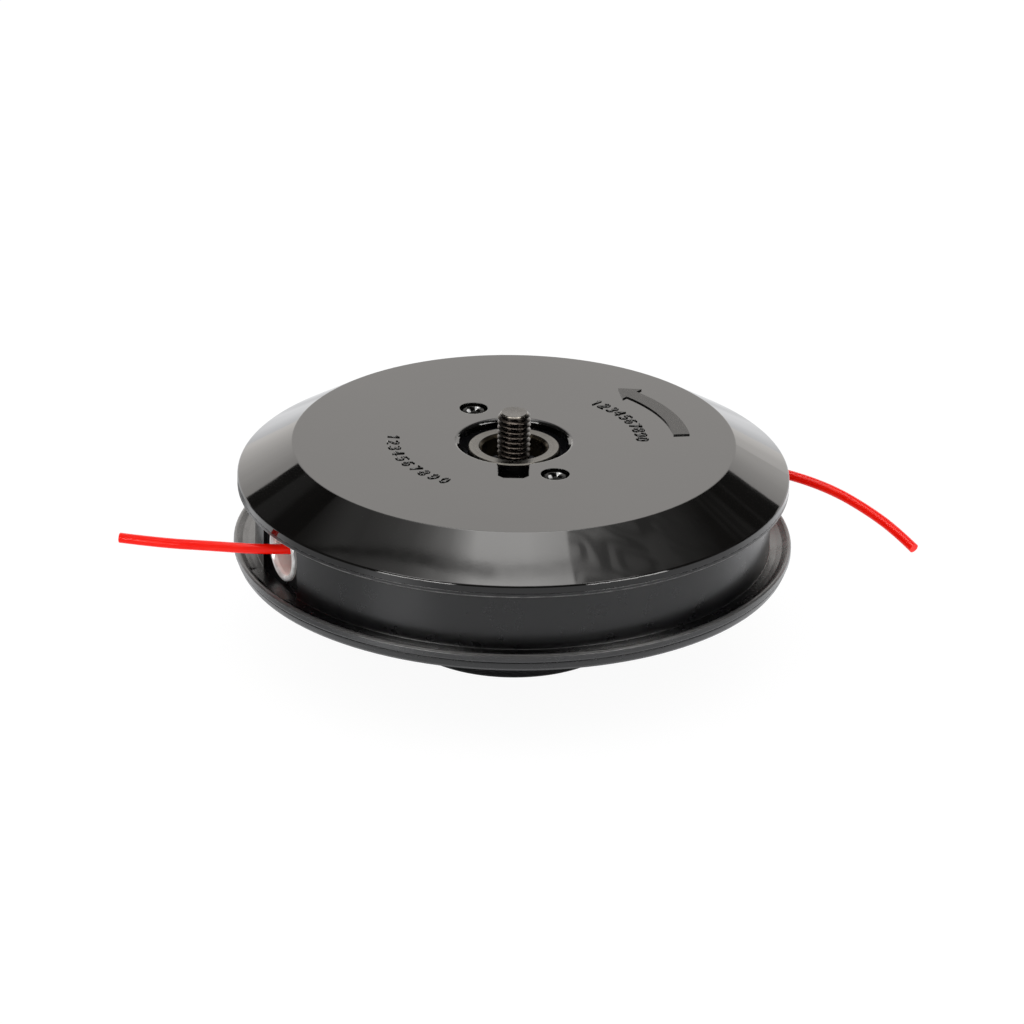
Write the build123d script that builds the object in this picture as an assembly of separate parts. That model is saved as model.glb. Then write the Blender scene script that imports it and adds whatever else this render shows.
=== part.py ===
from build123d import *
import os
from math import sin, cos, tan, radians, degrees, pi, hypot

# Tap-and-go line head for a brush cutter, standing on its tap knob.
# Origin: centre of the knob's flat bottom. +Z up along the drive axis, -Y toward the viewer.
# All lengths in millimetres.

os.makedirs("parts", exist_ok=True)

# ---- driving dimensions -------------------------------------------------
TOP_R = 65.0            # top cover, outer radius (130 mm head)
FLAT_R = 52.15          # radius of the flat top face
TOP_Z = 49.5            # flat top face
CONE_Z = 41.7           # lower end of the cone, start of the vertical rim
RIM_Z = 40.0            # parting plane between top cover and drum
COVER_T = 2.2           # cover wall
HOLE_R = 13.3           # round well in the cover
WELL_Z = 44.9           # floor of the key slot
GAP_Z = 43.4            # floor of the deep gap round the seat ring
GAP_R = 14.9            # outer wall of that gap, under the cover
KEY_W = 7.2             # locking-pin key slot, width
KEY_OUT = 21.6          # key slot, outer end from the axis

DRUM_R = 60.8           # drum wall, outer
DRUM_RI = 58.3          # drum wall, inner
DRUM_FL_T = 1.1         # upper flange thickness
LOW_FL_Z = 24.1         # upper face of the lower flange at the wall
LIP_Z = 25.05           # crest of the lower flange's upswept edge
LOW_R = 65.9            # lower flange radius, drum half
SPLIT_Z = 23.1          # parting plane between drum and bottom cover
BOT_R = 65.65           # bottom cover radius at the parting plane
BOT_Z = 20.35           # underside of the bottom cover
KNOB_HOLE_R = 28.0

KNOB_R = 27.0
KNOB_TOP = 23.0
KNOB_WALL = 2.5
KNOB_FLOOR = 3.5

STUD_R = 3.9            # M8 x 1.25 left-hand, crest radius
STUD_TOP = 56.9
STUD_FLOOR = 43.0       # hub face where the free thread starts
SHANK_R = 4.2           # plain shoulder held in the hub
HEAD_AF = 13.0          # hexagon head, across flats
HEAD_H = 5.3
HEAD_Z = 33.3           # underside of the hexagon head

RING_RO = 10.85         # steel seat ring
RING_RI = 7.7
RING_TOP = 48.2
RING_BOT = 40.4

TOWER_R = 13.2          # hub tower the spool turns on
TOWER_BOT = 26.5
SPRING_BORE = 10.7
SPOOL_BORE = 13.6
TRAVEL = 5.0            # tap travel of knob and spool

SCREW_X, SCREW_Y = 9.7, -19.0   # one of the two opposite cover screws
SCREW_HEAD_R = 3.1
SCREW_POCKET_R = 3.4

EYE_AZ = 64.0           # eyelet azimuth, from -Y toward -X
EYE_Z = 31.8
EYE_FL_R = 7.0          # eyelet flange radius
EYE_RI = 5.3            # eyelet bore
EYE_RO = 6.1            # eyelet barrel, outer
EYE_CLIP_R = 6.45       # retaining collar inside the wall
POCKET_D = 58.9         # flat floor of the eyelet pocket, from the axis
POCKET_W = 19.0         # pocket width
PAD_IN = 57.1           # inner face of the pad behind the pocket
EYE_IN = 54.8           # inner end of the eyelet's barrel

SPOOL_R = 54.0
CORE_R = 30.0
WOUND_R = 42.0
LINE_D = 2.4            # cutting line diameter

# route of each free line end, from inside its eyelet to its cut end
LEFT_ROUTE = [(-48.3, -26.35, 32.8), (-57.5, -28.3, 33.3), (-70.2, -28.1, 34.0), (-81.5, -26.7, 33.9), (-91.3, -23.9, 33.8)]
RIGHT_ROUTE = [(48.3, 26.3, 32.2), (57.5, 27.0, 31.8), (67.8, 24.4, 30.7), (77.2, 19.7, 29.0), (85.0, 14.0, 26.5), (91.2, 8.6, 23.9), (95.3, 3.3, 21.8)]


# ---- helpers ------------------------------------------------------------
def turned(points):
    """Solid of revolution about Z of an (r, z) outline."""
    with BuildPart() as b:
        with BuildSketch(Plane.XZ):
            with BuildLine():
                Polyline(*points, close=True)
            make_face()
        revolve(axis=Axis.Z)
    return b.part


def tube(r0, r1, z0, z1):
    return turned([(r0, z0), (r1, z0), (r1, z1), (r0, z1)]) if r0 > 0 else Pos(0, 0, (z0 + z1) / 2) * Cylinder(r1, z1 - z0)


def sector(r0, r1, z0, z1, mid_deg, width_deg):
    """Ring sector between two radii and two heights, centred on an azimuth from +X."""
    with BuildPart() as b:
        with BuildSketch(Plane.XZ):
            with BuildLine():
                Polyline((r0, z0), (r1, z0), (r1, z1), (r0, z1), close=True)
            make_face()
        revolve(axis=Axis.Z, revolution_arc=width_deg)
    # the sweep direction is settled by centring on the sector's own middle
    s = b.part
    c = s.center()
    from math import atan2
    now = degrees(atan2(c.Y, c.X))
    return Rot(0, 0, mid_deg - now) * s


def save(shape, name):
    solids = shape.solids()
    out = solids[0] if len(solids) == 1 else Compound(children=list(solids))
    export_step(out, f"parts/{name}.step")
    return out


def radial(az_deg, z, depth):
    """Plane whose normal points outward from the axis at an azimuth counted from -Y toward -X."""
    a = radians(az_deg)
    d = Vector(-sin(a), -cos(a), 0)
    return Plane(origin=d * depth + Vector(0, 0, z), z_dir=d, x_dir=Vector(cos(a), -sin(a), 0))


def tail(route, name):
    pts = [Vector(*p) for p in route]
    radii = []
    for i in range(1, len(pts) - 1):
        a, b = pts[i] - pts[i - 1], pts[i + 1] - pts[i]
        turn = a.get_angle(b)
        radii.append(0.45 * min(a.length, b.length) / tan(radians(turn / 2)))
    path = FilletPolyline(*pts, radius=radii)
    t = pts[1] - pts[0]
    pl = Plane(origin=pts[0], z_dir=t)
    body = sweep(pl * Circle(LINE_D / 2), path=path)
    print(name, "length", round(path.length, 2), "radii", [round(r, 1) for r in radii], "volume", round(body.volume, 2), "expected", round(pi * (LINE_D / 2) ** 2 * path.length, 2))
    return body


# ---- top cover ----------------------------------------------------------
slope = (TOP_R - FLAT_R) / (TOP_Z - CONE_Z)
in_flat_z = TOP_Z - COVER_T
in_cone = TOP_R - 4.55          # inner cone radius level with the rim's top
rim_in = TOP_R - 2.4


def cone_in(z):
    return in_cone - (z - CONE_Z) * slope


cover = turned([
    (HOLE_R, TOP_Z), (FLAT_R, TOP_Z), (TOP_R, CONE_Z), (TOP_R, RIM_Z), (rim_in, RIM_Z),
    (rim_in, CONE_Z - (rim_in - in_cone) / slope), (cone_in(in_flat_z), in_flat_z),
    (HOLE_R, in_flat_z),
])
# soften the visible outer edges: flat/cone edge, cone/rim edge, the well's mouth
edges = [e for e in cover.edges().filter_by(GeomType.CIRCLE) if
         (abs(e.radius - FLAT_R) < 0.05 and abs(e.center().Z - TOP_Z) < 0.05) or
         (abs(e.radius - TOP_R) < 0.05 and abs(e.center().Z - CONE_Z) < 0.05)]
cover = fillet(edges, 0.5)
mouth = [e for e in cover.edges().filter_by(GeomType.CIRCLE) if abs(e.radius - HOLE_R) < 0.05 and abs(e.center().Z - TOP_Z) < 0.05]
cover = fillet(mouth, 0.75)
# key slot in front of the well
slot = Pos(0, -(HOLE_R - 2 + KEY_OUT) / 2, (TOP_Z + WELL_Z) / 2) * Box(KEY_W, KEY_OUT - HOLE_R + 2, TOP_Z - WELL_Z + 2)
slot = chamfer([e for e in slot.edges().filter_by(Axis.Z) if e.center().Y < -(HOLE_R + 3)], 1.3)
slot_wall = Pos(0, -(HOLE_R + KEY_OUT + 1.6) / 2, (in_flat_z + WELL_Z) / 2 + 0.05) * Box(KEY_W + 3.2, KEY_OUT - HOLE_R + 1.6, in_flat_z - WELL_Z + 0.1)
slot_wall = slot_wall - Pos(0, 0, 45) * Cylinder(HOLE_R + 1.55, 20)
cover = cover + slot_wall - slot
# two small lugs on the rim of the well, left and right
for mid in (178, 4):
    cover = cover + sector(HOLE_R - 0.4, HOLE_R + 0.5, in_flat_z, TOP_Z - 0.25, mid, 17)
for sx, sy in ((SCREW_X, SCREW_Y), (-SCREW_X, -SCREW_Y)):
    cover = cover - Pos(sx, sy, TOP_Z - 0.75) * Cylinder(SCREW_POCKET_R, 1.5)
    cover = cover - Pos(sx, sy, TOP_Z - 2) * Cylinder(2.1, 6)
# raised rotation arrow, 0.32 high: curved bar with a hooked head
arrow_r0, arrow_r1 = 37.9, 41.7
bar = sector(arrow_r0, arrow_r1, TOP_Z - 0.2, TOP_Z + 0.32, 26.5, 39.4)
with BuildPart() as head:
    with BuildSketch(Plane.XY.offset(TOP_Z - 0.2)):
        with BuildLine():
            Polyline((24.81, 31.78), (30.4, 31.4), (25.85, 25.6), close=True)
        make_face()
    extrude(amount=0.52)
arrow = bar + head.part
cover = cover + arrow
save(cover, "top_cover")

# ---- hub carrier --------------------------------------------------------
hub = turned([
    (SHANK_R, STUD_FLOOR), (RING_RI - 0.05, STUD_FLOOR), (RING_RI - 0.05, RING_BOT), (RING_RO, RING_BOT), (RING_RO, GAP_Z),
    (GAP_R, GAP_Z), (GAP_R, 47.2), (27.0, 47.2), (27.0, 42.0), (TOWER_R, 42.0),
    (TOWER_R, TOWER_BOT), (SPRING_BORE, TOWER_BOT), (SPRING_BORE, HEAD_Z), (SHANK_R, HEAD_Z),
])
with BuildPart() as hexpocket:
    with BuildSketch(Plane.XY.offset(HEAD_Z - 0.01)):
        RegularPolygon(HEAD_AF / 2, 6, major_radius=False)
    extrude(amount=HEAD_H + 0.01)
hub = hub - hexpocket.part
# clearance for the cover's key-slot walls
hub = hub - Pos(0, -(12.5 + 27.5) / 2, 46.2) * Box(KEY_W + 3.4, 27.5 - 12.5, 2.6)
for sx, sy in ((SCREW_X, SCREW_Y), (-SCREW_X, -SCREW_Y)):
    hub = hub - Pos(sx, sy, 45.2) * Cylinder(1.5, 4.6)
for k in range(4):
    hub = hub + sector(17.5, 23.5, 40.5, 42.0, 45 + 90 * k, 22)
save(hub, "hub_carrier")

# ---- seat ring, stud ----------------------------------------------------
ring = turned([(RING_RI, RING_BOT), (RING_RO, RING_BOT), (RING_RO, RING_TOP - 0.3), (RING_RO - 0.3, RING_TOP), (RING_RI + 0.6, RING_TOP), (RING_RI, RING_TOP - 0.8)])
save(ring, "seat_ring")

stud = turned([(0, HEAD_Z + HEAD_H), (SHANK_R, HEAD_Z + HEAD_H), (SHANK_R, STUD_FLOOR), (STUD_R, STUD_FLOOR), (STUD_R, STUD_TOP - 0.9), (STUD_R - 0.9, STUD_TOP), (0, STUD_TOP)])
with BuildPart() as hexhead:
    with BuildSketch(Plane.XY.offset(HEAD_Z)):
        RegularPolygon(HEAD_AF / 2, 6, major_radius=False)
    extrude(amount=HEAD_H)
hexa = hexhead.part & turned([(0, HEAD_Z), (6.6, HEAD_Z), (7.6, HEAD_Z + 0.6), (7.6, HEAD_Z + HEAD_H), (0, HEAD_Z + HEAD_H)])
save(stud + hexa, "threaded_stud")

# ---- cover screws: domed cross-recess heads -----------------------------
screws = []
for sx, sy in ((SCREW_X, SCREW_Y), (-SCREW_X, -SCREW_Y)):
    s = turned([(0, 43.1), (0.4, 43.1), (1.5, 44.2), (1.5, TOP_Z - 1.5), (SCREW_HEAD_R, TOP_Z - 1.5), (SCREW_HEAD_R, TOP_Z - 1.0), (2.5, TOP_Z - 0.45), (1.5, TOP_Z - 0.2), (0, TOP_Z - 0.1)])
    cross = Pos(0, 0, TOP_Z - 0.6) * (Box(3.4, 0.75, 1.4) + Box(0.75, 3.4, 1.4))
    s = s - cross
    screws.append(Pos(sx, sy, 0) * Rot(0, 0, 48) * s)
save(Compound(children=screws), "cover_screws")

# ---- drum ---------------------------------------------------------------
drum = turned([
    (DRUM_RI, SPLIT_Z), (LOW_R - 0.15, SPLIT_Z), (LOW_R, SPLIT_Z + 0.3), (LOW_R, LIP_Z - 0.5), (LOW_R - 0.25, LIP_Z - 0.1), (LOW_R - 0.6, LIP_Z),
    (LOW_R - 0.9, LIP_Z - 0.08), (63.8, 24.32), (62.5, LOW_FL_Z + 0.03), (DRUM_R + 0.12, LOW_FL_Z), (DRUM_R, LOW_FL_Z + 0.12),
    (DRUM_R, RIM_Z - DRUM_FL_T - 0.3), (DRUM_R + 0.3, RIM_Z - DRUM_FL_T), (TOP_R - 0.3, RIM_Z - DRUM_FL_T), (TOP_R, RIM_Z - DRUM_FL_T + 0.3),
    (TOP_R, RIM_Z - 0.12), (TOP_R - 0.12, RIM_Z), (60.2, RIM_Z), (60.2, 41.4), (DRUM_RI, 41.4),
])
pocket_h = RIM_Z - DRUM_FL_T - LOW_FL_Z
pocket_z = (RIM_Z - DRUM_FL_T + LOW_FL_Z) / 2
for az in (EYE_AZ, EYE_AZ + 180):
    # pad behind the pocket, then the pocket itself with its flat floor, then the barrel's hole
    pad = radial(az, (25.6 + 38.9) / 2, PAD_IN) * Pos(0, 0, 1.1) * Box(21.0, 38.9 - 25.6, 2.2)
    drum = drum + pad
    drum = drum - radial(az, pocket_z, POCKET_D) * Pos(0, 0, 2.5) * Box(POCKET_W, pocket_h, 5.0)
    drum = drum - radial(az, EYE_Z, 54) * Pos(0, 0, 4) * Cylinder(EYE_RO + 0.02, 12)
# bayonet: entry gates and locking grooves for the bottom cover's four lugs
for k in range(4):
    drum = drum - sector(DRUM_RI - 1, 59.5, SPLIT_Z - 1, 25.4, 48 + 90 * k, 14)
    drum = drum - sector(DRUM_RI - 1, 59.5, 24.15, 25.4, 62 + 90 * k, 18)
save(drum, "drum_housing")

# ---- eyelets ------------------------------------------------------------
for name, az in (("eyelet_left", EYE_AZ), ("eyelet_right", EYE_AZ + 180)):
    f0, f1 = PAD_IN, POCKET_D         # faces that the collar and the flange bear on
    prof = [(EYE_RI + 0.25, EYE_IN), (EYE_RO, EYE_IN), (EYE_RO, f0 - 0.9), (EYE_CLIP_R, f0 - 0.9), (EYE_CLIP_R, f0), (EYE_RO, f0), (EYE_RO, f1), (EYE_FL_R, f1),
            (EYE_FL_R, f1 + 0.5), (EYE_FL_R - 0.2, f1 + 0.8), (EYE_FL_R - 0.6, f1 + 0.95), (EYE_FL_R - 1.0, f1 + 0.85), (EYE_RI + 0.25, f1 + 0.4), (EYE_RI, f1 - 0.2), (EYE_RI, EYE_IN + 0.25)]
    with BuildPart() as e:
        with BuildSketch(Plane.XZ):
            with BuildLine():
                Polyline(*prof, close=True)
            make_face()
        revolve(axis=Axis.Z)
    save(radial(az, EYE_Z, 0) * e.part, name)

# ---- bottom cover -------------------------------------------------------
bottom = turned([
    (KNOB_HOLE_R, BOT_Z - 0.9), (KNOB_HOLE_R + 1.8, BOT_Z - 0.9), (KNOB_HOLE_R + 2.7, BOT_Z), (BOT_R - 1.8, BOT_Z), (BOT_R - 1.1, BOT_Z + 0.25), (BOT_R - 0.65, BOT_Z + 0.85), (BOT_R - 0.15, BOT_Z + 2.0),
    (BOT_R, SPLIT_Z - 0.3), (BOT_R - 0.2, SPLIT_Z), (58.0, SPLIT_Z), (58.0, 25.2), (56.3, 25.2), (56.3, SPLIT_Z), (KNOB_HOLE_R, SPLIT_Z),
])
for k in range(4):
    bottom = bottom + sector(57.0, 59.3, 24.25, 25.2, 63 + 90 * k, 12)
    bottom = bottom + sector(30.5, 36.0, SPLIT_Z - 0.5, 23.9, 90 * k, 18)
save(bottom, "bottom_cover")

# ---- spring and its two washers -----------------------------------------
SPRING_TOP, SPRING_BOT = HEAD_Z - 1.0, 15.0
save(tube(5.2, 10.2, SPRING_TOP, HEAD_Z), "spring_seat_washer")
save(tube(5.2, 12.6, 14.0, SPRING_BOT), "thrust_washer")
WIRE = 1.4
coil_h = SPRING_TOP - SPRING_BOT - WIRE - 0.1
pitch = coil_h / 6.0
helix = Helix(pitch=pitch, height=coil_h, radius=8.8)
coil = sweep(Plane(origin=helix @ 0, z_dir=helix % 0) * Circle(WIRE / 2), path=helix, is_frenet=True)
coil = Pos(0, 0, SPRING_BOT + WIRE / 2 + 0.05) * coil
print("spring volume", round(coil.volume, 2), "expected", round(pi * (WIRE / 2) ** 2 * helix.length, 2))
save(coil, "compression_spring")

# ---- spool: two chambers, hub tube, neck for the knob ---------------------
spool = turned([
    (SPOOL_BORE, 14.0), (5.0, 14.0), (5.0, 12.0), (23.9, 12.0), (23.9, 13.9), (23.3, 14.3), (23.3, 15.3), (23.9, 15.7), (23.9, 25.2),
    (36.9, 25.2), (37.2, 23.2), (39.0, 23.2), (39.3, 25.2),
    (SPOOL_R, 25.2), (SPOOL_R, 26.4), (CORE_R, 26.4), (CORE_R, 31.4), (SPOOL_R, 31.4), (SPOOL_R, 32.6), (CORE_R, 32.6), (CORE_R, 37.8), (SPOOL_R, 37.8), (SPOOL_R, 39.2),
    (28.0, 39.2), (28.0, 33.0), (24.0, 33.0), (24.0, 35.3), (17.0, 35.3), (17.0, 33.0), (16.0, 33.0), (16.0, 36.8), (SPOOL_BORE, 36.8),
])
# lightening pocket between hub tube and neck, open downward through the neck's floor ring
spool = spool - tube(16.2, 21.4, 16.0, 31.2)
for k in range(4):
    spool = spool + sector(17.5, 23.5, 35.0, 36.8, 90 * k, 22)
    spool = spool + sector(30.5, 36.0, 24.2, 25.4, 45 + 90 * k, 18)
# a hole in each chamber where the end of the line is anchored
spool = spool - Pos(29, 0, 29) * Rot(0, 90, 0) * Cylinder(1.5, 5)
spool = spool - Pos(-29, 0, 35.2) * Rot(0, 90, 0) * Cylinder(1.5, 5)
save(spool, "spool")
save(tube(CORE_R + 0.05, WOUND_R, 26.5, 31.3), "wound_line_lower")
save(tube(CORE_R + 0.05, WOUND_R, 32.7, 37.5), "wound_line_upper")

# ---- tap knob -----------------------------------------------------------
knob = turned([
    (0, 0), (KNOB_R - 2.0, 0), (KNOB_R - 1.0, 0.27), (KNOB_R - 0.27, 1.0), (KNOB_R, 2.0), (KNOB_R, KNOB_TOP - 0.4), (KNOB_R - 0.4, KNOB_TOP),
    (23.95, KNOB_TOP), (23.95, 15.5), (23.45, 15.1), (23.45, 14.6), (23.95, 14.2), (23.95, KNOB_FLOOR), (0, KNOB_FLOOR),
])
for k in range(6):
    knob = knob + sector(6.0, 23.97, KNOB_FLOOR - 0.2, 12.0, 60 * k, 4)
knob = knob + tube(5.0, 8.0, KNOB_FLOOR - 0.2, 12.0)
save(knob, "bump_knob")

# ---- free line ends -----------------------------------------------------
save(tail(LEFT_ROUTE, "line_tail_left"), "line_tail_left")
save(tail(RIGHT_ROUTE, "line_tail_right"), "line_tail_right")
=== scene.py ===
import bpy, bmesh, math
from mathutils import Vector, Matrix


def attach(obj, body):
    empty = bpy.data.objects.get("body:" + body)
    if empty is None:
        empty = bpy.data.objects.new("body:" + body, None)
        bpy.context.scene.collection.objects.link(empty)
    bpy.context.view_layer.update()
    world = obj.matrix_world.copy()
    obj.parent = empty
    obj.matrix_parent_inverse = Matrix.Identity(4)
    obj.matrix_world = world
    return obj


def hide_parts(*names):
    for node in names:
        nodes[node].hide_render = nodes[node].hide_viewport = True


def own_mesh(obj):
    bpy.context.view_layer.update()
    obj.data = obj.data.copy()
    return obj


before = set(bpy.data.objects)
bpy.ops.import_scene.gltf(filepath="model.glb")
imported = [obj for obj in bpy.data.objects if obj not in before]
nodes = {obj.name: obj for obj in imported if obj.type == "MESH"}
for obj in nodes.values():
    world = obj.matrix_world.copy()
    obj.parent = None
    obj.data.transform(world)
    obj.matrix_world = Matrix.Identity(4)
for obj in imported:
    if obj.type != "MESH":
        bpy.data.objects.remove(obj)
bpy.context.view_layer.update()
MM = 0.001
scene = bpy.context.scene

# ------------------------------------------------------------------ camera
ELEV, ROLL, DIST = math.radians(24.2), math.radians(0.877), 1.5
PX_PER_MM, FRAME_PX = 4.2329, 1024.0
AIM = Vector((-0.00019, 0.0, 0.03114))
cam_data = bpy.data.cameras.new("camera")
cam = bpy.data.objects.new("camera", cam_data)
scene.collection.objects.link(cam)
fwd = Vector((0, math.cos(ELEV), -math.sin(ELEV)))
up0 = Vector((0, math.sin(ELEV), math.cos(ELEV)))
right0 = Vector((1, 0, 0))
right = math.cos(ROLL) * right0 + math.sin(ROLL) * up0
up = math.cos(ROLL) * up0 - math.sin(ROLL) * right0
m = Matrix((right, up, -fwd)).transposed().to_4x4()
m.translation = AIM - DIST * fwd
cam.matrix_world = m
cam_data.sensor_fit = "HORIZONTAL"
cam_data.sensor_width = 36.0
cam_data.lens = 36.0 * PX_PER_MM * 1000 * DIST / FRAME_PX
cam_data.clip_start, cam_data.clip_end = 0.05, 60.0
scene.camera = cam
scene.view_settings.view_transform = "Standard"
scene.view_settings.look = "None"
scene.view_settings.exposure = 0.0
scene.view_settings.gamma = 1.0


# ------------------------------------------------------------ shader helpers
class Net:
    """Small helper that adds and links shader nodes in one tree."""

    def __init__(self, tree):
        self.t = tree
        self.t.nodes.clear()

    def add(self, kind, **props):
        n = self.t.nodes.new(kind)
        for k, v in props.items():
            setattr(n, k, v)
        return n

    def link(self, a, b):
        self.t.links.new(a, b)

    def put(self, value, socket):
        if isinstance(value, (int, float)):
            socket.default_value = value
        else:
            self.link(value, socket)

    def noise(self, scale, detail=2.0, rough=0.5, co=None, distortion=0.0):
        n = self.add("ShaderNodeTexNoise")
        n.inputs["Scale"].default_value = scale
        n.inputs["Detail"].default_value = detail
        n.inputs["Roughness"].default_value = rough
        n.inputs["Distortion"].default_value = distortion
        self.link(co or self.co, n.inputs["Vector"])
        return n.outputs["Fac"]

    def ramp(self, value, stops):
        n = self.add("ShaderNodeValToRGB")
        e = n.color_ramp.elements
        while len(e) > 1:
            e.remove(e[-1])
        e[0].position, e[0].color = stops[0][0], (*stops[0][1], 1)
        for p, c in stops[1:]:
            k = e.new(p)
            k.color = (*c, 1)
        self.link(value, n.inputs[0])
        return n.outputs[0]

    def math(self, op, a, b=None, c=None, clamp=False):
        n = self.add("ShaderNodeMath", operation=op, use_clamp=clamp)
        for i, v in enumerate((a, b, c)):
            if v is not None:
                self.put(v, n.inputs[i])
        return n.outputs[0]

    def mul(self, *v):
        out = v[0]
        for w in v[1:]:
            out = self.math("MULTIPLY", out, w)
        return out

    def remap(self, value, a, b, c, d):
        n = self.add("ShaderNodeMapRange")
        for i, v in zip((1, 2, 3, 4), (a, b, c, d)):
            n.inputs[i].default_value = v
        self.link(value, n.inputs[0])
        return n.outputs[0]

    def step(self, value, a, b, lo=0.0, hi=1.0):
        n = self.add("ShaderNodeMapRange", interpolation_type="SMOOTHSTEP")
        for i, v in zip((1, 2, 3, 4), (a, b, lo, hi)):
            n.inputs[i].default_value = v
        self.link(value, n.inputs[0])
        return n.outputs[0]

    def band(self, value, a, b, soft):
        """1 between a and b, falling to 0 over soft on each side."""
        return self.mul(self.step(value, a - soft, a), self.step(value, b, b + soft, 1.0, 0.0))

    def lerp(self, f, a, b):
        """a at f 0 and b at f 1, for numbers or number sockets."""
        return self.math("ADD", self.mul(a, self.math("SUBTRACT", 1.0, f)), self.mul(b, f))

    def colours(self, f, a, b):
        n = self.add("ShaderNodeMix", data_type="RGBA")
        self.put(f, n.inputs[0])
        for v, s in ((a, n.inputs[6]), (b, n.inputs[7])):
            if isinstance(v, tuple):
                s.default_value = (*v, 1)
            else:
                self.link(v, s)
        return n.outputs[2]

    def xyz(self, socket):
        sep = self.add("ShaderNodeSeparateXYZ")
        self.link(socket, sep.inputs[0])
        return sep.outputs[0], sep.outputs[1], sep.outputs[2]

    def join(self, x, y, z=0.0):
        n = self.add("ShaderNodeCombineXYZ")
        for v, s in zip((x, y, z), n.inputs):
            self.put(v, s)
        return n.outputs[0]

    def length2(self, x, y):
        return self.math("SQRT", self.math("ADD", self.mul(x, x), self.mul(y, y)))


class Tree(Net):
    """A material on one Principled shader."""

    def __init__(self, name):
        self.mat = bpy.data.materials.new(name)
        self.mat.use_nodes = True
        super().__init__(self.mat.node_tree)
        self.out = self.add("ShaderNodeOutputMaterial")
        self.bsdf = self.add("ShaderNodeBsdfPrincipled")
        self.link(self.bsdf.outputs[0], self.out.inputs[0])
        self.co = self.add("ShaderNodeTexCoord").outputs["Object"]

    def set(self, **values):
        for k, v in values.items():
            self.bsdf.inputs[k.replace("_", " ")].default_value = v

    def colour(self, socket):
        self.link(socket, self.bsdf.inputs["Base Color"])

    def rough(self, socket):
        self.link(socket, self.bsdf.inputs["Roughness"])

    def soft_edges(self, radius):
        """Normal that rounds the moulding's sharp edges."""
        n = self.add("ShaderNodeBevel", samples=4)
        n.inputs["Radius"].default_value = radius
        self.link(n.outputs[0], self.bsdf.inputs["Normal"])
        return n.outputs[0]

    def bump(self, height, strength, distance, normal=None):
        n = self.add("ShaderNodeBump")
        n.inputs["Strength"].default_value = strength
        n.inputs["Distance"].default_value = distance
        self.link(height, n.inputs["Height"])
        if normal is not None:
            self.link(normal, n.inputs["Normal"])
        self.link(n.outputs[0], self.bsdf.inputs["Normal"])
        return n.outputs[0]


# --------------------------------------------------------------- materials
def gloss_black():
    """Polished black nylon of the top cover: slight waves from moulding, a few soft marks."""
    t = Tree("gloss_black_moulding")
    t.set(IOR=1.5)
    n = t.noise(60, 3, 0.55)
    t.colour(t.ramp(n, [(0.3, (0.0014, 0.0012, 0.0010)), (0.7, (0.0024, 0.0021, 0.0018))]))
    t.rough(t.remap(t.noise(140, 3, 0.6), 0.3, 0.7, 0.040, 0.065))
    b = t.soft_edges(0.00022)
    b = t.bump(t.noise(30, 2, 0.5), 0.05, 0.0006, b)
    t.bump(t.noise(1500, 2, 0.5), 0.03, 0.00002, b)
    return t.mat


def arrow_black():
    """Dull top face of the raised arrow."""
    t = Tree("dull_black_relief")
    t.set(IOR=1.28)
    n = t.noise(900, 3, 0.6)
    t.colour(t.ramp(n, [(0.3, (0.004, 0.0035, 0.003)), (0.7, (0.008, 0.007, 0.006))]))
    t.rough(t.remap(n, 0.3, 0.7, 0.20, 0.30))
    t.bump(t.noise(2600, 2, 0.6), 0.08, 0.00002)
    return t.mat


def satin_black(name="satin_black_moulding", rough=(0.26, 0.33), grain=0.30, base=0.0022, painted_edge_highlights=False, level=0.5, edge=0.00022):
    """Satin black nylon with a fine moulded grain; if asked, painted highlights along the lower edge of the upper
    flange and on the lower flange's lip.
    """
    t = Tree(name)
    t.set(IOR=1.5)
    t.bsdf.inputs["Specular IOR Level"].default_value = level
    n = t.noise(90, 3, 0.6)
    col = t.ramp(n, [(0.3, (base * 0.8, base * 0.8, base * 0.95)), (0.7, (base * 1.3, base * 1.3, base * 1.5))])
    ro = t.remap(t.noise(220, 3, 0.6), 0.3, 0.7, *rough)
    if painted_edge_highlights:
        x, y, z = t.xyz(t.co)
        r = t.length2(x, y)
        # painted highlights: a light grey line under the upper flange's edge, broken by noise and with specks, and a
        # fainter one on the lower flange's lip
        lip = t.mul(t.band(z, 0.03882, 0.03925, 0.00012), t.step(r, 0.0643, 0.0646))
        painted_lip_highlight = t.mul(lip, t.math("ADD", 0.35, t.mul(t.step(t.noise(420, 5, 0.75), 0.36, 0.62), 0.65)))
        painted_lip_specks = t.mul(t.step(t.noise(1900, 2, 0.7), 0.66, 0.72), t.step(r, 0.0643, 0.0646), t.band(z, 0.0386, 0.0392, 0.0002))
        low = t.mul(t.band(z, 0.02455, 0.0252, 0.00015), t.step(r, 0.0647, 0.0653), t.math("ADD", 0.6, t.mul(t.noise(300, 4, 0.7), 0.8)))
        f = t.math("ADD", t.math("ADD", t.mul(painted_lip_highlight, 0.55), t.mul(low, 0.19)), t.mul(painted_lip_specks, 0.50), clamp=True)
        col = t.colours(f, col, (0.22, 0.215, 0.21))
        ro = t.lerp(f, ro, 0.6)
    t.colour(col)
    t.rough(ro)
    b = t.soft_edges(edge)
    b = t.bump(t.noise(40, 2, 0.5), 0.05, 0.0004, b)
    t.bump(t.noise(3000, 2, 0.6), grain, 0.00003, b)
    return t.mat


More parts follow.
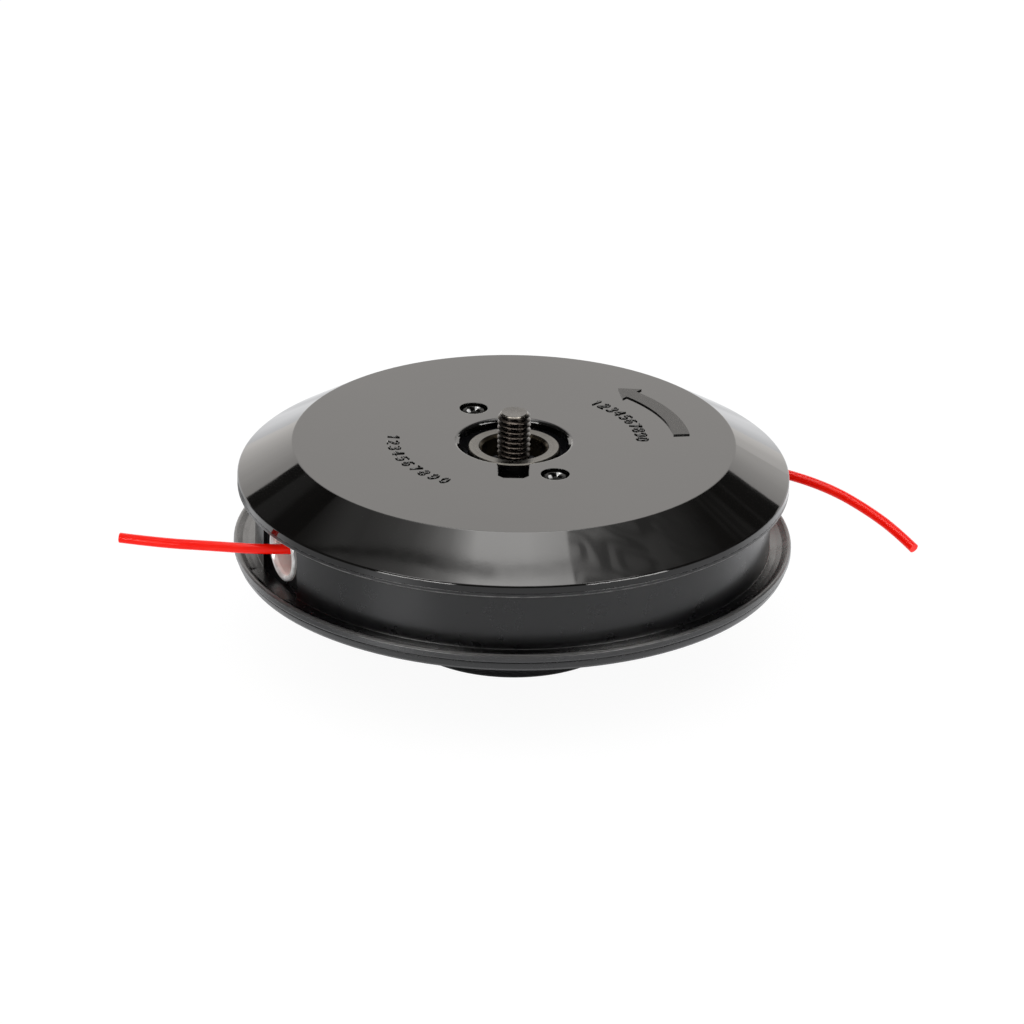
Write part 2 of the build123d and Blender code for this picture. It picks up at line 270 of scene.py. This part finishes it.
def turned_metal(name, colour, rough, ring_scale=2600, metallic=1.0, bumpy=0.25, inner=None):
    """Lathe-turned metal: fine rings about the drive axis, and a stained inner chamfer if asked."""
    t = Tree(name)
    t.set(Metallic=metallic)
    x, y, z = t.xyz(t.co)
    r = t.length2(x, y)
    rings = t.noise(ring_scale, 3, 0.6, co=t.join(r, z))
    blotch = t.noise(420, 4, 0.6)
    mixed = t.math("ADD", t.mul(rings, 0.6), t.mul(blotch, 0.4))
    dark = tuple(c * 0.70 for c in colour)
    light = tuple(min(1, c * 1.25) for c in colour)
    col = t.ramp(mixed, [(0.32, dark), (0.55, colour), (0.72, light)])
    if inner:
        radius, tint = inner
        col = t.colours(t.step(r, radius - 0.0002, radius + 0.0002, 1.0, 0.0), col, tint)
    t.colour(col)
    t.rough(t.remap(blotch, 0.3, 0.7, rough * 0.8, rough * 1.25))
    t.bump(rings, bumpy, 0.00003)
    return t.mat


def stud_metal():
    """Dark burnished steel with painted light: a painted highlight, a little brown, on the thread's crests, painted
    shade in its roots, and an end face a little lighter and brown.
    """
    t = Tree("stud_burnished_steel")
    t.set(Metallic=1.0)
    x, y, z = t.xyz(t.co)
    r = t.length2(x, y)
    # painted light on the thread: dark at the roots as painted shade, light at the crests as painted highlight
    crest = t.remap(r, 0.00325, 0.0039, 0.0, 1.0)
    end = t.step(z, 0.05676, 0.05681)
    n = t.noise(700, 4, 0.65)
    f = t.math("ADD", t.mul(crest, 0.50), t.mul(n, 0.36))
    side = t.ramp(f, [(0.15, (0.012, 0.010, 0.009)), (0.60, (0.046, 0.039, 0.034)), (0.95, (0.16, 0.14, 0.122))])
    # the chamfer is painted darker as shade, and a thin band along its top edge carries a painted highlight
    side = t.colours(t.step(z, 0.05595, 0.05620), side, (0.020, 0.018, 0.016))
    side = t.colours(t.band(z, 0.05666, 0.05682, 0.00005), side, (0.20, 0.185, 0.165))
    t.colour(t.colours(end, side, (0.064, 0.061, 0.057)))
    t.rough(t.remap(n, 0.3, 0.7, 0.20, 0.36))
    t.bump(t.noise(2400, 3, 0.6), 0.25, 0.00002)
    return t.mat


def screw_metal():
    """Blackened screw head with painted glints: near-white spots at the ends of the cross recess."""
    t = Tree("screw_black_oxide")
    t.bsdf.inputs["Specular IOR Level"].default_value = 0.04
    # the marked spots at the recess's arm ends are painted glints, near-white and partly metallic
    glint_mask = t.add("ShaderNodeAttribute", attribute_name="painted_glint").outputs["Fac"]
    n = t.noise(900, 3, 0.6)
    t.link(t.mul(glint_mask, 0.30), t.bsdf.inputs["Metallic"])
    t.colour(t.colours(glint_mask, t.ramp(n, [(0.3, (0.0020, 0.0020, 0.0020)), (0.7, (0.0045, 0.0042, 0.0040))]), (0.95, 0.95, 0.94)))
    t.rough(t.remap(n, 0.3, 0.7, 0.20, 0.28))
    return t.mat


def red_line():
    """Red nylon, with a slow tone change along its length."""
    t = Tree("red_nylon_line")
    n = t.noise(160, 3, 0.5)
    t.colour(t.ramp(n, [(0.3, (0.93, 0.0050, 0.0016)), (0.7, (0.99, 0.0120, 0.0036))]))
    t.set(IOR=1.46)
    t.bsdf.inputs["Specular IOR Level"].default_value = 0.22
    t.rough(t.remap(t.noise(160, 2, 0.5), 0.3, 0.7, 0.20, 0.26))
    return t.mat


def wound_red():
    """The windings: each layer of line shows as a ridge, with painted shade in the grooves between layers."""
    t = Tree("red_wound_line")
    x, y, z = t.xyz(t.co)
    r = t.length2(x, y)
    ridge_and_groove_shade = t.math("ABSOLUTE", t.math("SINE", t.mul(t.math("ADD", r, z), math.pi / 0.0024)))
    # painted shade: the grooves between layers are darker red, the ridges lighter
    t.colour(t.ramp(ridge_and_groove_shade, [(0.0, (0.22, 0.002, 0.002)), (0.5, (0.7, 0.008, 0.005))]))
    t.rough(t.remap(t.noise(900, 2, 0.5), 0.3, 0.7, 0.2, 0.3))
    t.bump(ridge_and_groove_shade, 1.0, 0.0008)
    return t.mat


def eyelet_metal():
    """Bright drawn aluminium; the bore is rubbed dull and carries a painted pink reflection of the red line."""
    t = Tree("eyelet_aluminium")
    t.set(Metallic=0.12)
    x, y, z = t.xyz(t.co)
    r = t.length2(x, y)
    n = t.noise(700, 4, 0.6)
    bore = t.step(r, 0.0590, 0.0597, 1.0, 0.0)
    bright = t.ramp(n, [(0.3, (0.50, 0.50, 0.49)), (0.7, (0.80, 0.80, 0.79))])
    # the bore's near-white pink colour is a painted reflection of the red line; its dullness is the roughness below
    rubbed_with_pink_reflection = t.ramp(n, [(0.3, (0.98, 0.82, 0.76)), (0.7, (1.0, 0.93, 0.88))])
    t.colour(t.colours(bore, bright, rubbed_with_pink_reflection))
    t.rough(t.lerp(bore, 0.18, t.remap(n, 0.3, 0.7, 0.40, 0.60)))
    t.bump(n, 0.1, 0.00003)
    return t.mat


GLOSS = gloss_black()
RELIEF = arrow_black()
SATIN = satin_black(painted_edge_highlights=True)
SATIN_LOW = satin_black("satin_black_flange", (0.22, 0.30), 0.18, 0.0022)
SATIN_TOP = satin_black("satin_black_flange_top", (0.22, 0.29), 0.18, 0.0022, painted_edge_highlights=True, level=0.8)
NYLON = satin_black("nylon_black", (0.42, 0.55), 0.35, 0.022, level=0.4)
KNOB = satin_black("knob_black", (0.38, 0.5), 0.4, 0.0020, level=0.3, edge=0.0003)
RING = turned_metal("seat_ring_steel", (0.078, 0.074, 0.066), 0.30, inner=(0.00815, (0.095, 0.077, 0.052)))
SPRING = turned_metal("spring_wire_steel", (0.5, 0.5, 0.51), 0.25)
WASHER = turned_metal("washer_steel", (0.55, 0.55, 0.54), 0.3)
EYELET = eyelet_metal()
STUD = stud_metal()
SCREW = screw_metal()
RED = red_line()
WOUND = wound_red()

LOOK = {
    "top_cover": GLOSS, "hub_carrier": NYLON, "seat_ring": RING, "threaded_stud": STUD, "cover_screws": SCREW,
    "drum_housing": SATIN, "eyelet_left": EYELET, "eyelet_right": EYELET, "bottom_cover": SATIN_LOW,
    "spring_seat_washer": WASHER, "compression_spring": SPRING, "thrust_washer": WASHER, "spool": NYLON,
    "wound_line_lower": WOUND, "wound_line_upper": WOUND, "bump_knob": KNOB, "line_tail_left": RED, "line_tail_right": RED,
}
for name, mat in LOOK.items():
    o = nodes[name]
    o.data.materials.clear()
    o.data.materials.append(mat)

# the raised arrow's flat top is duller than the cover round it
TOP_Z = 49.5
cover_mesh = nodes["top_cover"].data
cover_mesh.materials.append(RELIEF)
for poly in cover_mesh.polygons:
    high = min(cover_mesh.vertices[i].co.z for i in poly.vertices)
    poly.material_index = 1 if high > (TOP_Z + 0.2) * MM else 0

# the upper face of the lower flange is rubbed a little smoother than the wall
drum_mesh = nodes["drum_housing"].data
drum_mesh.materials.append(SATIN_TOP)
for poly in drum_mesh.polygons:
    pts = [drum_mesh.vertices[i].co for i in poly.vertices]
    on_flange = max(p.z for p in pts) < 25.4 * MM and min(math.hypot(p.x, p.y) for p in pts) > 60.9 * MM
    poly.material_index = 1 if on_flange else 0


# ------------------------------------------------------------- line ends
# route of each free line end, from inside its eyelet to its cut end, in millimetres
LEFT_ROUTE = [(-48.3, -26.35, 32.8), (-57.5, -28.3, 33.3), (-70.2, -28.1, 34.0), (-81.5, -26.7, 33.9), (-91.3, -23.9, 33.8)]
RIGHT_ROUTE = [(48.3, 26.3, 32.2), (57.5, 27.0, 31.8), (67.8, 24.4, 30.7), (77.2, 19.7, 29.0), (85.0, 14.0, 26.5), (91.2, 8.6, 23.9), (95.3, 3.3, 21.8)]
LINE_D = 0.0024


def line_end(name, node, route):
    cu = bpy.data.curves.new(name, "CURVE")
    cu.dimensions = "3D"
    sp = cu.splines.new("NURBS")
    sp.points.add(len(route) - 1)
    for p, q in zip(sp.points, route):
        p.co = (q[0] * MM, q[1] * MM, q[2] * MM, 1)
    sp.order_u = 3
    sp.use_endpoint_u = True
    sp.resolution_u = 12
    cu.bevel_depth = LINE_D / 2
    cu.bevel_resolution = 6
    cu.use_fill_caps = True
    o = bpy.data.objects.new(name, cu)
    scene.collection.objects.link(o)
    o.data.materials.append(RED)
    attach(o, "housing")
    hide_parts(node)
    return o


line_end("cutting_line_left", "line_tail_left", LEFT_ROUTE)
line_end("cutting_line_right", "line_tail_right", RIGHT_ROUTE)


# ------------------------------------------------- spring coil (the real one shortens with the tap)
def spring_coil():
    """The CAD coil copied under its own name and attached to the housing. On the real head its top stays on the hub
    and its foot rises 5 mm at full tap.
    """
    o = bpy.data.objects.new("spring_coil", nodes["compression_spring"].data.copy())
    scene.collection.objects.link(o)
    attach(o, "housing")
    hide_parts("compression_spring")
    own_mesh(o)


spring_coil()


# ------------------------------------------------------ threaded stud mesh
def mesh_object(name, verts, faces, mat, smooth=True):
    me = bpy.data.meshes.new(name)
    me.from_pydata(verts, [], faces)
    me.update()
    if smooth:
        me.polygons.foreach_set("use_smooth", [True] * len(me.polygons))
    o = bpy.data.objects.new(name, me)
    scene.collection.objects.link(o)
    me.materials.append(mat)
    return o


def outward(o):
    bm = bmesh.new()
    bm.from_mesh(o.data)
    bmesh.ops.recalc_face_normals(bm, faces=bm.faces)
    bm.to_mesh(o.data)
    bm.free()


def stud_mesh():
    """Hexagon head, plain shoulder and a cut left-hand thread, 1.25 mm pitch."""
    pitch, depth, major = 1.25, 0.70, 3.9
    z0, z1 = 43.0, 56.9
    cols, per = 72, 16
    rows = int(round((z1 - z0) / pitch * per)) + 1
    verts, faces = [], []

    def radius(th, z):
        # left hand: seen from the front the ridges fall to the right
        ph = (z / pitch + th / (2 * math.pi)) % 1.0
        tri = abs(ph - 0.5) * 2           # 1 at the crest's middle, 0 at the root
        f = min(1.0, max(0.0, (tri - 0.15) / 0.78))
        r = major - depth * (1 - f)
        top = z1 - z
        r = min(r, major - 0.9 + top * 1.0) if top < 0.9 else r
        low = z - z0
        if low < 0.5:
            r = min(r, major - depth + low * 1.4)
        return r

    for i in range(rows):
        z = z0 + (z1 - z0) * i / (rows - 1)
        for j in range(cols):
            th = 2 * math.pi * j / cols
            r = radius(th, z)
            verts.append((r * math.cos(th) * MM, r * math.sin(th) * MM, z * MM))
    for i in range(rows - 1):
        for j in range(cols):
            a, b = i * cols + j, i * cols + (j + 1) % cols
            faces.append((a, b, b + cols, a + cols))
    # top: slightly dished end face
    last = (rows - 1) * cols
    ring_r = [2.2, 1.0]
    prev = last
    for rr in ring_r:
        base = len(verts)
        for j in range(cols):
            th = 2 * math.pi * j / cols
            verts.append((rr * math.cos(th) * MM, rr * math.sin(th) * MM, (z1 - 0.02 * (1 if rr > 2 else 3)) * MM))
        for j in range(cols):
            faces.append((prev + j, prev + (j + 1) % cols, base + (j + 1) % cols, base + j))
        prev = base
    c = len(verts)
    verts.append((0, 0, (z1 - 0.08) * MM))
    for j in range(cols):
        faces.append((prev + j, prev + (j + 1) % cols, c))
    # shoulder ring, held in the hub, then the hexagon head
    base = len(verts)
    for r, z in ((4.2, 43.0), (4.2, 38.6)):
        for j in range(cols):
            th = 2 * math.pi * j / cols
            verts.append((r * math.cos(th) * MM, r * math.sin(th) * MM, z * MM))
    for j in range(cols):
        k = (j + 1) % cols
        faces.append((j, base + j, base + k, k))
        faces.append((base + j, base + cols + j, base + cols + k, base + k))
    af = 13.0 / 2

    def hexr(th, cap):
        s = (th + math.pi / 6) % (math.pi / 3) - math.pi / 6
        return min(af / math.cos(s), cap)

    levels = [(38.6, 9.0), (33.9, 9.0), (33.3, 6.9)]
    prev = base + cols
    for z, cap in levels:
        nb = len(verts)
        for j in range(cols):
            th = 2 * math.pi * j / cols
            r = hexr(th, cap)
            verts.append((r * math.cos(th) * MM, r * math.sin(th) * MM, z * MM))
        for j in range(cols):
            k = (j + 1) % cols
            faces.append((prev + j, nb + j, nb + k, prev + k))
        prev = nb
    c = len(verts)
    verts.append((0, 0, 33.3 * MM))
    for j in range(cols):
        faces.append((prev + (j + 1) % cols, prev + j, c))
    o = mesh_object("stud_with_thread", verts, faces, STUD)
    outward(o)
    o.data.set_sharp_from_angle(angle=math.radians(42))
    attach(o, "housing")
    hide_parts("threaded_stud")
    return o


stud_mesh()


# ------------------------------------------------------------ cover screws
SCREW_AT = ((9.7, -19.0), (-9.7, 19.0))
CROSS_TURN = math.radians(48)


def screw_meshes():
    """Two domed heads with a rounded cross recess, each with its shank."""
    cols, rings = 72, 26
    head_r = 3.1
    verts, faces, painted_glint = [], [], []

    def dome(r):
        pts = [(0.0, -0.10), (1.5, -0.20), (2.5, -0.45), (3.1, -1.0)]
        for (r0, z0), (r1, z1) in zip(pts, pts[1:]):
            if r <= r1:
                return z0 + (z1 - z0) * (r - r0) / (r1 - r0)
        return pts[-1][1]

    def recess(x, y):
        c, s = math.cos(-CROSS_TURN), math.sin(-CROSS_TURN)
        u, v = c * x - s * y, s * x + c * y
        best = 9.0
        for px, py in ((abs(u), v), (abs(v), u)):
            dx = max(0.0, px - 1.45)
            best = min(best, math.hypot(dx, py))
        q = min(1.0, max(0.0, (best - 0.05) / 0.62))
        return 1 - q * q * (3 - 2 * q)

    for sx, sy in SCREW_AT:
        start = len(verts)
        verts.append((sx * MM, sy * MM, (TOP_Z + dome(0) - 0.95) * MM))
        painted_glint.append(0.0)
        prev = None
        for i in range(1, rings + 1):
            r = head_r * i / rings
            base = len(verts)
            for j in range(cols):
                th = 2 * math.pi * j / cols
                x, y = r * math.cos(th), r * math.sin(th)
                k = recess(x, y)
                verts.append(((sx + x) * MM, (sy + y) * MM, (TOP_Z + dome(r) - 0.95 * k) * MM))
                # only the two ends of the arm that runs front left to back right carry painted glints
                dot = min(math.hypot(x - 0.92, y - 1.12), math.hypot(x + 0.98, y + 0.80))
                painted_glint.append(min(1.0, max(0.0, (0.72 - dot) / 0.30)))
            for j in range(cols):
                n = (j + 1) % cols
                if prev is None:
                    faces.append((start, base + j, base + n))
                else:
                    faces.append((prev + j, base + j, base + n, prev + n))
            prev = base
        for r, z in ((3.1, TOP_Z - 1.5), (1.5, TOP_Z - 1.5), (1.5, 44.2), (0.4, 43.1)):
            base = len(verts)
            for j in range(cols):
                th = 2 * math.pi * j / cols
                verts.append(((sx + r * math.cos(th)) * MM, (sy + r * math.sin(th)) * MM, z * MM))
                painted_glint.append(0.0)
            for j in range(cols):
                n = (j + 1) % cols
                faces.append((prev + j, base + j, base + n, prev + n))
            prev = base
        tip = len(verts)
        verts.append((sx * MM, sy * MM, 43.1 * MM))
        painted_glint.append(0.0)
        for j in range(cols):
            faces.append((prev + j, tip, prev + (j + 1) % cols))
    o = mesh_object("cover_screw_heads", verts, faces, SCREW)
    att = o.data.attributes.new("painted_glint", "FLOAT", "POINT")
    att.data.foreach_set("value", painted_glint)
    outward(o)
    o.data.set_sharp_from_angle(angle=math.radians(50))
    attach(o, "housing")
    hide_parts("cover_screws")
    return o


screw_meshes()


# --------------------------------------------- generic raised digits on top
# each digit as pen strokes in a box 0.6 wide and 1 high
STROKES = {
    "1": [[(0.12, 0.78), (0.36, 1.0), (0.36, 0.0)]],
    "2": [[(0.03, 0.78), (0.12, 0.94), (0.30, 1.0), (0.50, 0.93), (0.57, 0.74), (0.48, 0.52), (0.0, 0.0), (0.6, 0.0)]],
    "3": [[(0.04, 0.88), (0.16, 0.98), (0.32, 1.0), (0.50, 0.93), (0.55, 0.76), (0.45, 0.60), (0.26, 0.54)],
          [(0.26, 0.54), (0.46, 0.48), (0.59, 0.28), (0.50, 0.07), (0.30, 0.0), (0.12, 0.03), (0.0, 0.16)]],
    "4": [[(0.44, 0.0), (0.44, 1.0), (0.0, 0.30), (0.62, 0.30)]],
    "5": [[(0.55, 1.0), (0.12, 1.0), (0.06, 0.56), (0.28, 0.63), (0.50, 0.56), (0.59, 0.32), (0.49, 0.08), (0.28, 0.0), (0.10, 0.03), (0.0, 0.15)]],
    "6": [[(0.50, 0.95), (0.34, 1.0), (0.15, 0.88), (0.03, 0.58), (0.03, 0.26), (0.14, 0.05), (0.32, 0.0), (0.51, 0.08), (0.59, 0.30), (0.50, 0.52), (0.32, 0.59), (0.13, 0.51), (0.04, 0.36)]],
    "7": [[(0.0, 1.0), (0.6, 1.0), (0.22, 0.0)]],
    "8": [[(0.30, 0.54), (0.11, 0.64), (0.06, 0.80), (0.14, 0.95), (0.30, 1.0), (0.46, 0.95), (0.54, 0.80), (0.49, 0.64), (0.30, 0.54),
           (0.08, 0.43), (0.0, 0.25), (0.10, 0.06), (0.30, 0.0), (0.50, 0.06), (0.60, 0.25), (0.52, 0.43), (0.30, 0.54)]],
    "9": [[(0.10, 0.05), (0.26, 0.0), (0.45, 0.12), (0.57, 0.42), (0.57, 0.74), (0.46, 0.95), (0.28, 1.0), (0.09, 0.92), (0.01, 0.70), (0.10, 0.48), (0.28, 0.41), (0.47, 0.49), (0.56, 0.64)]],
    "0": [[(0.30, 1.0), (0.11, 0.90), (0.02, 0.50), (0.11, 0.10), (0.30, 0.0), (0.49, 0.10), (0.58, 0.50), (0.49, 0.90), (0.30, 1.0)]],
}


def digits(name, text, radius, az_from, az_to, height, up_out, width=0.46, slant=0.12):
    """Plain raised digits set along an arc of the flat top, as one piece. Azimuths in degrees from +X."""
    cu = bpy.data.curves.new(name, "CURVE")
    cu.dimensions = "3D"
    cu.bevel_depth = width / 2 * MM
    cu.bevel_resolution = 2
    cu.use_fill_caps = True
    n = len(text)
    for i, ch in enumerate(text):
        az = math.radians(az_from + (az_to - az_from) * i / (n - 1))
        rot = az - math.pi / 2 if up_out else az + math.pi / 2
        c, s = math.cos(rot), math.sin(rot)
        cx, cy = radius * math.cos(az), radius * math.sin(az)
        for stroke in STROKES[ch]:
            sp = cu.splines.new("POLY")
            sp.points.add(len(stroke) - 1)
            for p, (u, v) in zip(sp.points, stroke):
                lx = ((u - 0.3) + slant * (v - 0.5)) * height
                ly = (v - 0.5) * height
                p.co = ((cx + c * lx - s * ly) * MM, (cy + s * lx + c * ly) * MM, (TOP_Z + 0.07) * MM, 1)
    tmp = bpy.data.objects.new("tmp_digits", cu)
    scene.collection.objects.link(tmp)
    bpy.context.view_layer.update()
    me = bpy.data.meshes.new_from_object(tmp.evaluated_get(bpy.context.evaluated_depsgraph_get()))
    bpy.data.objects.remove(tmp)
    me.name = name
    me.polygons.foreach_set("use_smooth", [True] * len(me.polygons))
    o = bpy.data.objects.new(name, me)
    scene.collection.objects.link(o)
    me.materials.clear()
    me.materials.append(GLOSS)
    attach(o, "housing")
    return o


digits("raised_digits_right", "1234567890", 30.3, 50.0, 4.0, 2.7, True)
digits("raised_digits_left", "1234567890", 28.4, 177.5, 236.0, 2.7, False)


# ------------------------------------------------------------------ studio
def emitter(name, verts, faces):
    """A stage mesh with an emission material; returns the object and its node helper."""
    mat = bpy.data.materials.new(name)
    mat.use_nodes = True
    net = Net(mat.node_tree)
    o = mesh_object(name, verts, faces, mat, False)
    mat.cycles.emission_sampling = "NONE"
    net.co = net.add("ShaderNodeTexCoord").outputs["Object"]
    return o, net


def stage_floor():
    """White floor. In reflections it is pale round the object, brighter far behind, and falls away at the sides and in
    front; it also carries a painted shadow under the object and at its left back, and a painted patch of light at its
    front left.
    """
    s = 12.0
    o, n = emitter("floor", [(-s, -s, 0), (s, -s, 0), (s, s, 0), (-s, s, 0)], [(0, 1, 2, 3)])
    x, y, z = n.xyz(n.co)
    r = n.length2(x, y)
    # painted shadow in reflections: the floor is dark under the object
    near = n.step(r, 0.040, 0.062)
    far = n.step(r, 0.55, 0.90, 1.0, 0.06)
    behind = n.step(y, 0.20, 0.45)
    right_side = n.mul(n.step(x, 0.066, 0.092), n.step(y, -0.030, 0.012), 0.34)
    left_side = n.mul(n.step(x, -0.092, -0.066, 1.0, 0.0), n.step(y, -0.026, 0.020, -0.26, 0.36))
    # a painted patch of light at the front left and a painted shadow at the left back
    painted_light_patch = n.step(n.length2(n.math("ADD", x, 0.085), n.math("ADD", y, 0.103)), 0.006, 0.042, 1.0, 0.0)
    painted_shadow_patch = n.step(n.length2(n.math("ADD", x, 0.088), n.math("ADD", y, -0.068)), 0.012, 0.042, 0.22, 1.0)
    pale = n.mul(n.math("ADD", n.math("ADD", 0.93, n.math("ADD", right_side, left_side)), n.mul(painted_light_patch, 1.10)), painted_shadow_patch)
    level = n.lerp(behind, n.mul(n.lerp(near, 0.16, pale), far), 1.5)
    lp = n.add("ShaderNodeLightPath")
    gloss = n.add("ShaderNodeEmission")
    gloss.inputs[0].default_value = (0.98, 0.985, 1.0, 1)
    n.link(level, gloss.inputs[1])
    plain = n.add("ShaderNodeAddShader")
    dif = n.add("ShaderNodeBsdfDiffuse")
    dif.inputs[0].default_value = (0.10, 0.10, 0.10, 1)
    em = n.add("ShaderNodeEmission")
    em.inputs[0].default_value = (1, 1, 1, 1)
    em.inputs[1].default_value = 0.935
    n.link(dif.outputs[0], plain.inputs[0])
    n.link(em.outputs[0], plain.inputs[1])
    mix = n.add("ShaderNodeMixShader")
    n.link(lp.outputs["Is Glossy Ray"], mix.inputs[0])
    n.link(plain.outputs[0], mix.inputs[1])
    n.link(gloss.outputs[0], mix.inputs[2])
    out = n.add("ShaderNodeOutputMaterial")
    n.link(mix.outputs[0], out.inputs[0])


def overhead_panel():
    """Soft boxes 0.3 m over the table with a seam between two of them and creased foil at their right."""
    h = 0.300
    o, n = emitter("overhead_panel", [(-0.26, -0.19, 0), (0.26, -0.19, 0), (0.26, 0.15, 0), (-0.26, 0.15, 0)], [(0, 3, 2, 1)])
    o.location = (0, 0, h)
    o.visible_camera = o.visible_diffuse = o.visible_shadow = o.visible_transmission = o.visible_volume_scatter = False
    x, y, z = n.xyz(n.co)
    X, Y = n.mul(x, 1000.0), n.mul(y, 1000.0)
    # seam coordinate: 0 to 1 over the stretch that the cover's cone mirrors
    g = n.math("ADD", n.math("DIVIDE", n.math("SUBTRACT", n.math("ADD", n.mul(X, X, 0.00278), -40.0), Y), 15.0), 0.1)
    streak = n.noise(1.0, 3, 0.6, co=n.join(n.mul(X, 0.055), n.mul(g, 0.35)))
    Xs = n.math("ADD", X, n.mul(n.math("SUBTRACT", streak, 0.5), 10.0))
    across = [(-180, 0.45), (-165, 0.55), (-144, 0.7), (-116, 1.0), (-97, 1.6), (-80, 2.3), (-70, 2.8), (-60, 4.0), (-50, 5.2), (-40, 6.4), (18, 6.5), (38, 5.9), (57, 5.4), (200, 5.4)]
    main = n.mul(n.ramp(n.remap(Xs, -180, 200, 0.0, 1.0), [((a + 180) / 380, (v / 6.5,) * 3) for a, v in across]), 6.5)
    seam = n.band(g, 0.575, 0.625, 0.02)
    low = n.band(g, 0.63, 0.80, 0.05)
    left = n.step(X, -30, -8, 1.0, 0.0)
    main = n.mul(main, n.lerp(seam, 1.0, 0.50), n.lerp(n.mul(low, n.lerp(left, 0.35, 0.80)), 1.0, 0.10))
    # creased foil right of the box
    crease = n.noise(1.0, 0, 0.45, co=n.join(n.mul(X, 0.016), n.math("ADD", n.mul(g, 1.5), n.mul(X, -0.009)), 3.0), distortion=0.5)
    lit = n.step(n.math("SINE", n.mul(crease, 2 * math.pi * 6.5)), 0.0, 0.16)
    low_tone = n.mul(n.ramp(n.remap(X, 66, 200, 0.0, 1.0), [(0.0, (0.95,) * 3), (0.3, (0.55,) * 3), (0.6, (0.34,) * 3), (1.0, (0.25,) * 3)]), 1.0)
    high_tone = n.mul(n.ramp(n.remap(X, 66, 200, 0.0, 1.0), [(0.0, (1.0,) * 3), (0.22, (0.66,) * 3), (0.45, (0.26,) * 3), (1.0, (0.10,) * 3)]), 3.0)
    foil = n.lerp(lit, low_tone, high_tone)
    edge = n.math("ADD", X, n.mul(n.math("SUBTRACT", crease, 0.5), 6.0))
    level = n.lerp(n.step(edge, 64.5, 67.5), main, foil)
    # two strong boxes in front, left and right, with a weaker one between them
    ax = n.math("ABSOLUTE", X)
    front = n.band(Y, -190.0, -64.0, 3.0)
    level = n.lerp(front, level, n.lerp(n.step(ax, 82, 96), 2.8, n.mul(n.lerp(n.step(ax, 176, 190), 7.0, 0.5), n.step(Y, -124.0, -108.0, 0.06, 1.0))))
    level = n.mul(level, n.step(ax, 192, 258, 1.0, 0.20))
    em = n.add("ShaderNodeEmission")
    em.inputs[0].default_value = (1.0, 0.985, 0.965, 1)
    n.link(level, em.inputs[1])
    out = n.add("ShaderNodeOutputMaterial")
    n.link(em.outputs[0], out.inputs[0])


def studio_world():
    w = bpy.data.worlds.new("studio")
    scene.world = w
    w.cycles.sampling_method = "NONE"
    w.use_nodes = True
    n = Net(w.node_tree)
    n.co = n.add("ShaderNodeTexCoord").outputs["Generated"]
    x, y, z = n.xyz(n.co)
    zc = n.math("MAXIMUM", z, 0.02)
    u, v = n.math("DIVIDE", x, zc), n.math("DIVIDE", y, zc)
    elev = n.math("DIVIDE", z, n.length2(x, y))
    # white backdrop behind the object, wider near the table, with slow tone changes
    side = n.math("DIVIDE", n.math("ABSOLUTE", x), n.math("MAXIMUM", y, 0.001))
    limit = n.remap(elev, 0.10, 0.42, 1.15, 0.62)
    over = n.math("SUBTRACT", side, limit)
    back = n.mul(n.step(over, 0.0, 0.018, 1.0, 0.0), n.step(y, 0.02, 0.05), n.step(elev, 0.85, 1.1, 1.0, 0.0))
    panel = n.math("ADD", 1.56, n.mul(n.noise(24, 2, 0.5), 0.24))
    # ceiling glow
    rad = n.length2(u, v)
    glow = n.step(rad, 0.30, 1.0, 1.0, 0.0)
    uneven = n.step(n.noise(5.0, 3, 0.55, distortion=0.8), 0.46, 0.60)
    level = n.mul(n.math("ADD", n.math("ADD", 0.045, n.mul(uneven, 0.085)), n.mul(glow, 0.85)), n.step(z, 0.0, 0.05))
    # two lights standing low in front, left and right of the camera
    turn = n.math("DIVIDE", x, n.math("MAXIMUM", n.mul(y, -1.0), 0.001))
    lamps = n.math("ADD", n.band(turn, -1.40, -0.44, 0.06), n.band(turn, 0.64, 2.10, 0.08))
    lamps = n.mul(lamps, n.step(y, -0.05, -0.02, 1.0, 0.0), n.band(elev, 0.10, 0.38, 0.03))
    level = n.math("ADD", level, n.mul(lamps, 13.0))
    lp = n.add("ShaderNodeLightPath")
    bg_ceiling = n.add("ShaderNodeBackground")
    bg_ceiling.inputs[0].default_value = (1.0, 0.99, 0.97, 1)
    n.link(level, bg_ceiling.inputs[1])
    bg_back = n.add("ShaderNodeBackground")
    bg_back.inputs[0].default_value = (1.0, 0.968, 0.935, 1)
    n.link(panel, bg_back.inputs[1])
    gloss = n.add("ShaderNodeMixShader")
    n.link(back, gloss.inputs[0])
    n.link(bg_ceiling.outputs[0], gloss.inputs[1])
    n.link(bg_back.outputs[0], gloss.inputs[2])
    bg_plain = n.add("ShaderNodeBackground")
    bg_plain.inputs[0].default_value = (1, 1, 1, 1)
    bg_plain.inputs[1].default_value = 1.0
    mix = n.add("ShaderNodeMixShader")
    n.link(n.math("MAXIMUM", lp.outputs["Is Camera Ray"], lp.outputs["Is Diffuse Ray"]), mix.inputs[0])
    n.link(gloss.outputs[0], mix.inputs[1])
    n.link(bg_plain.outputs[0], mix.inputs[2])
    out = n.add("ShaderNodeOutputWorld")
    n.link(mix.outputs[0], out.inputs[0])


stage_floor()
overhead_panel()
studio_world()
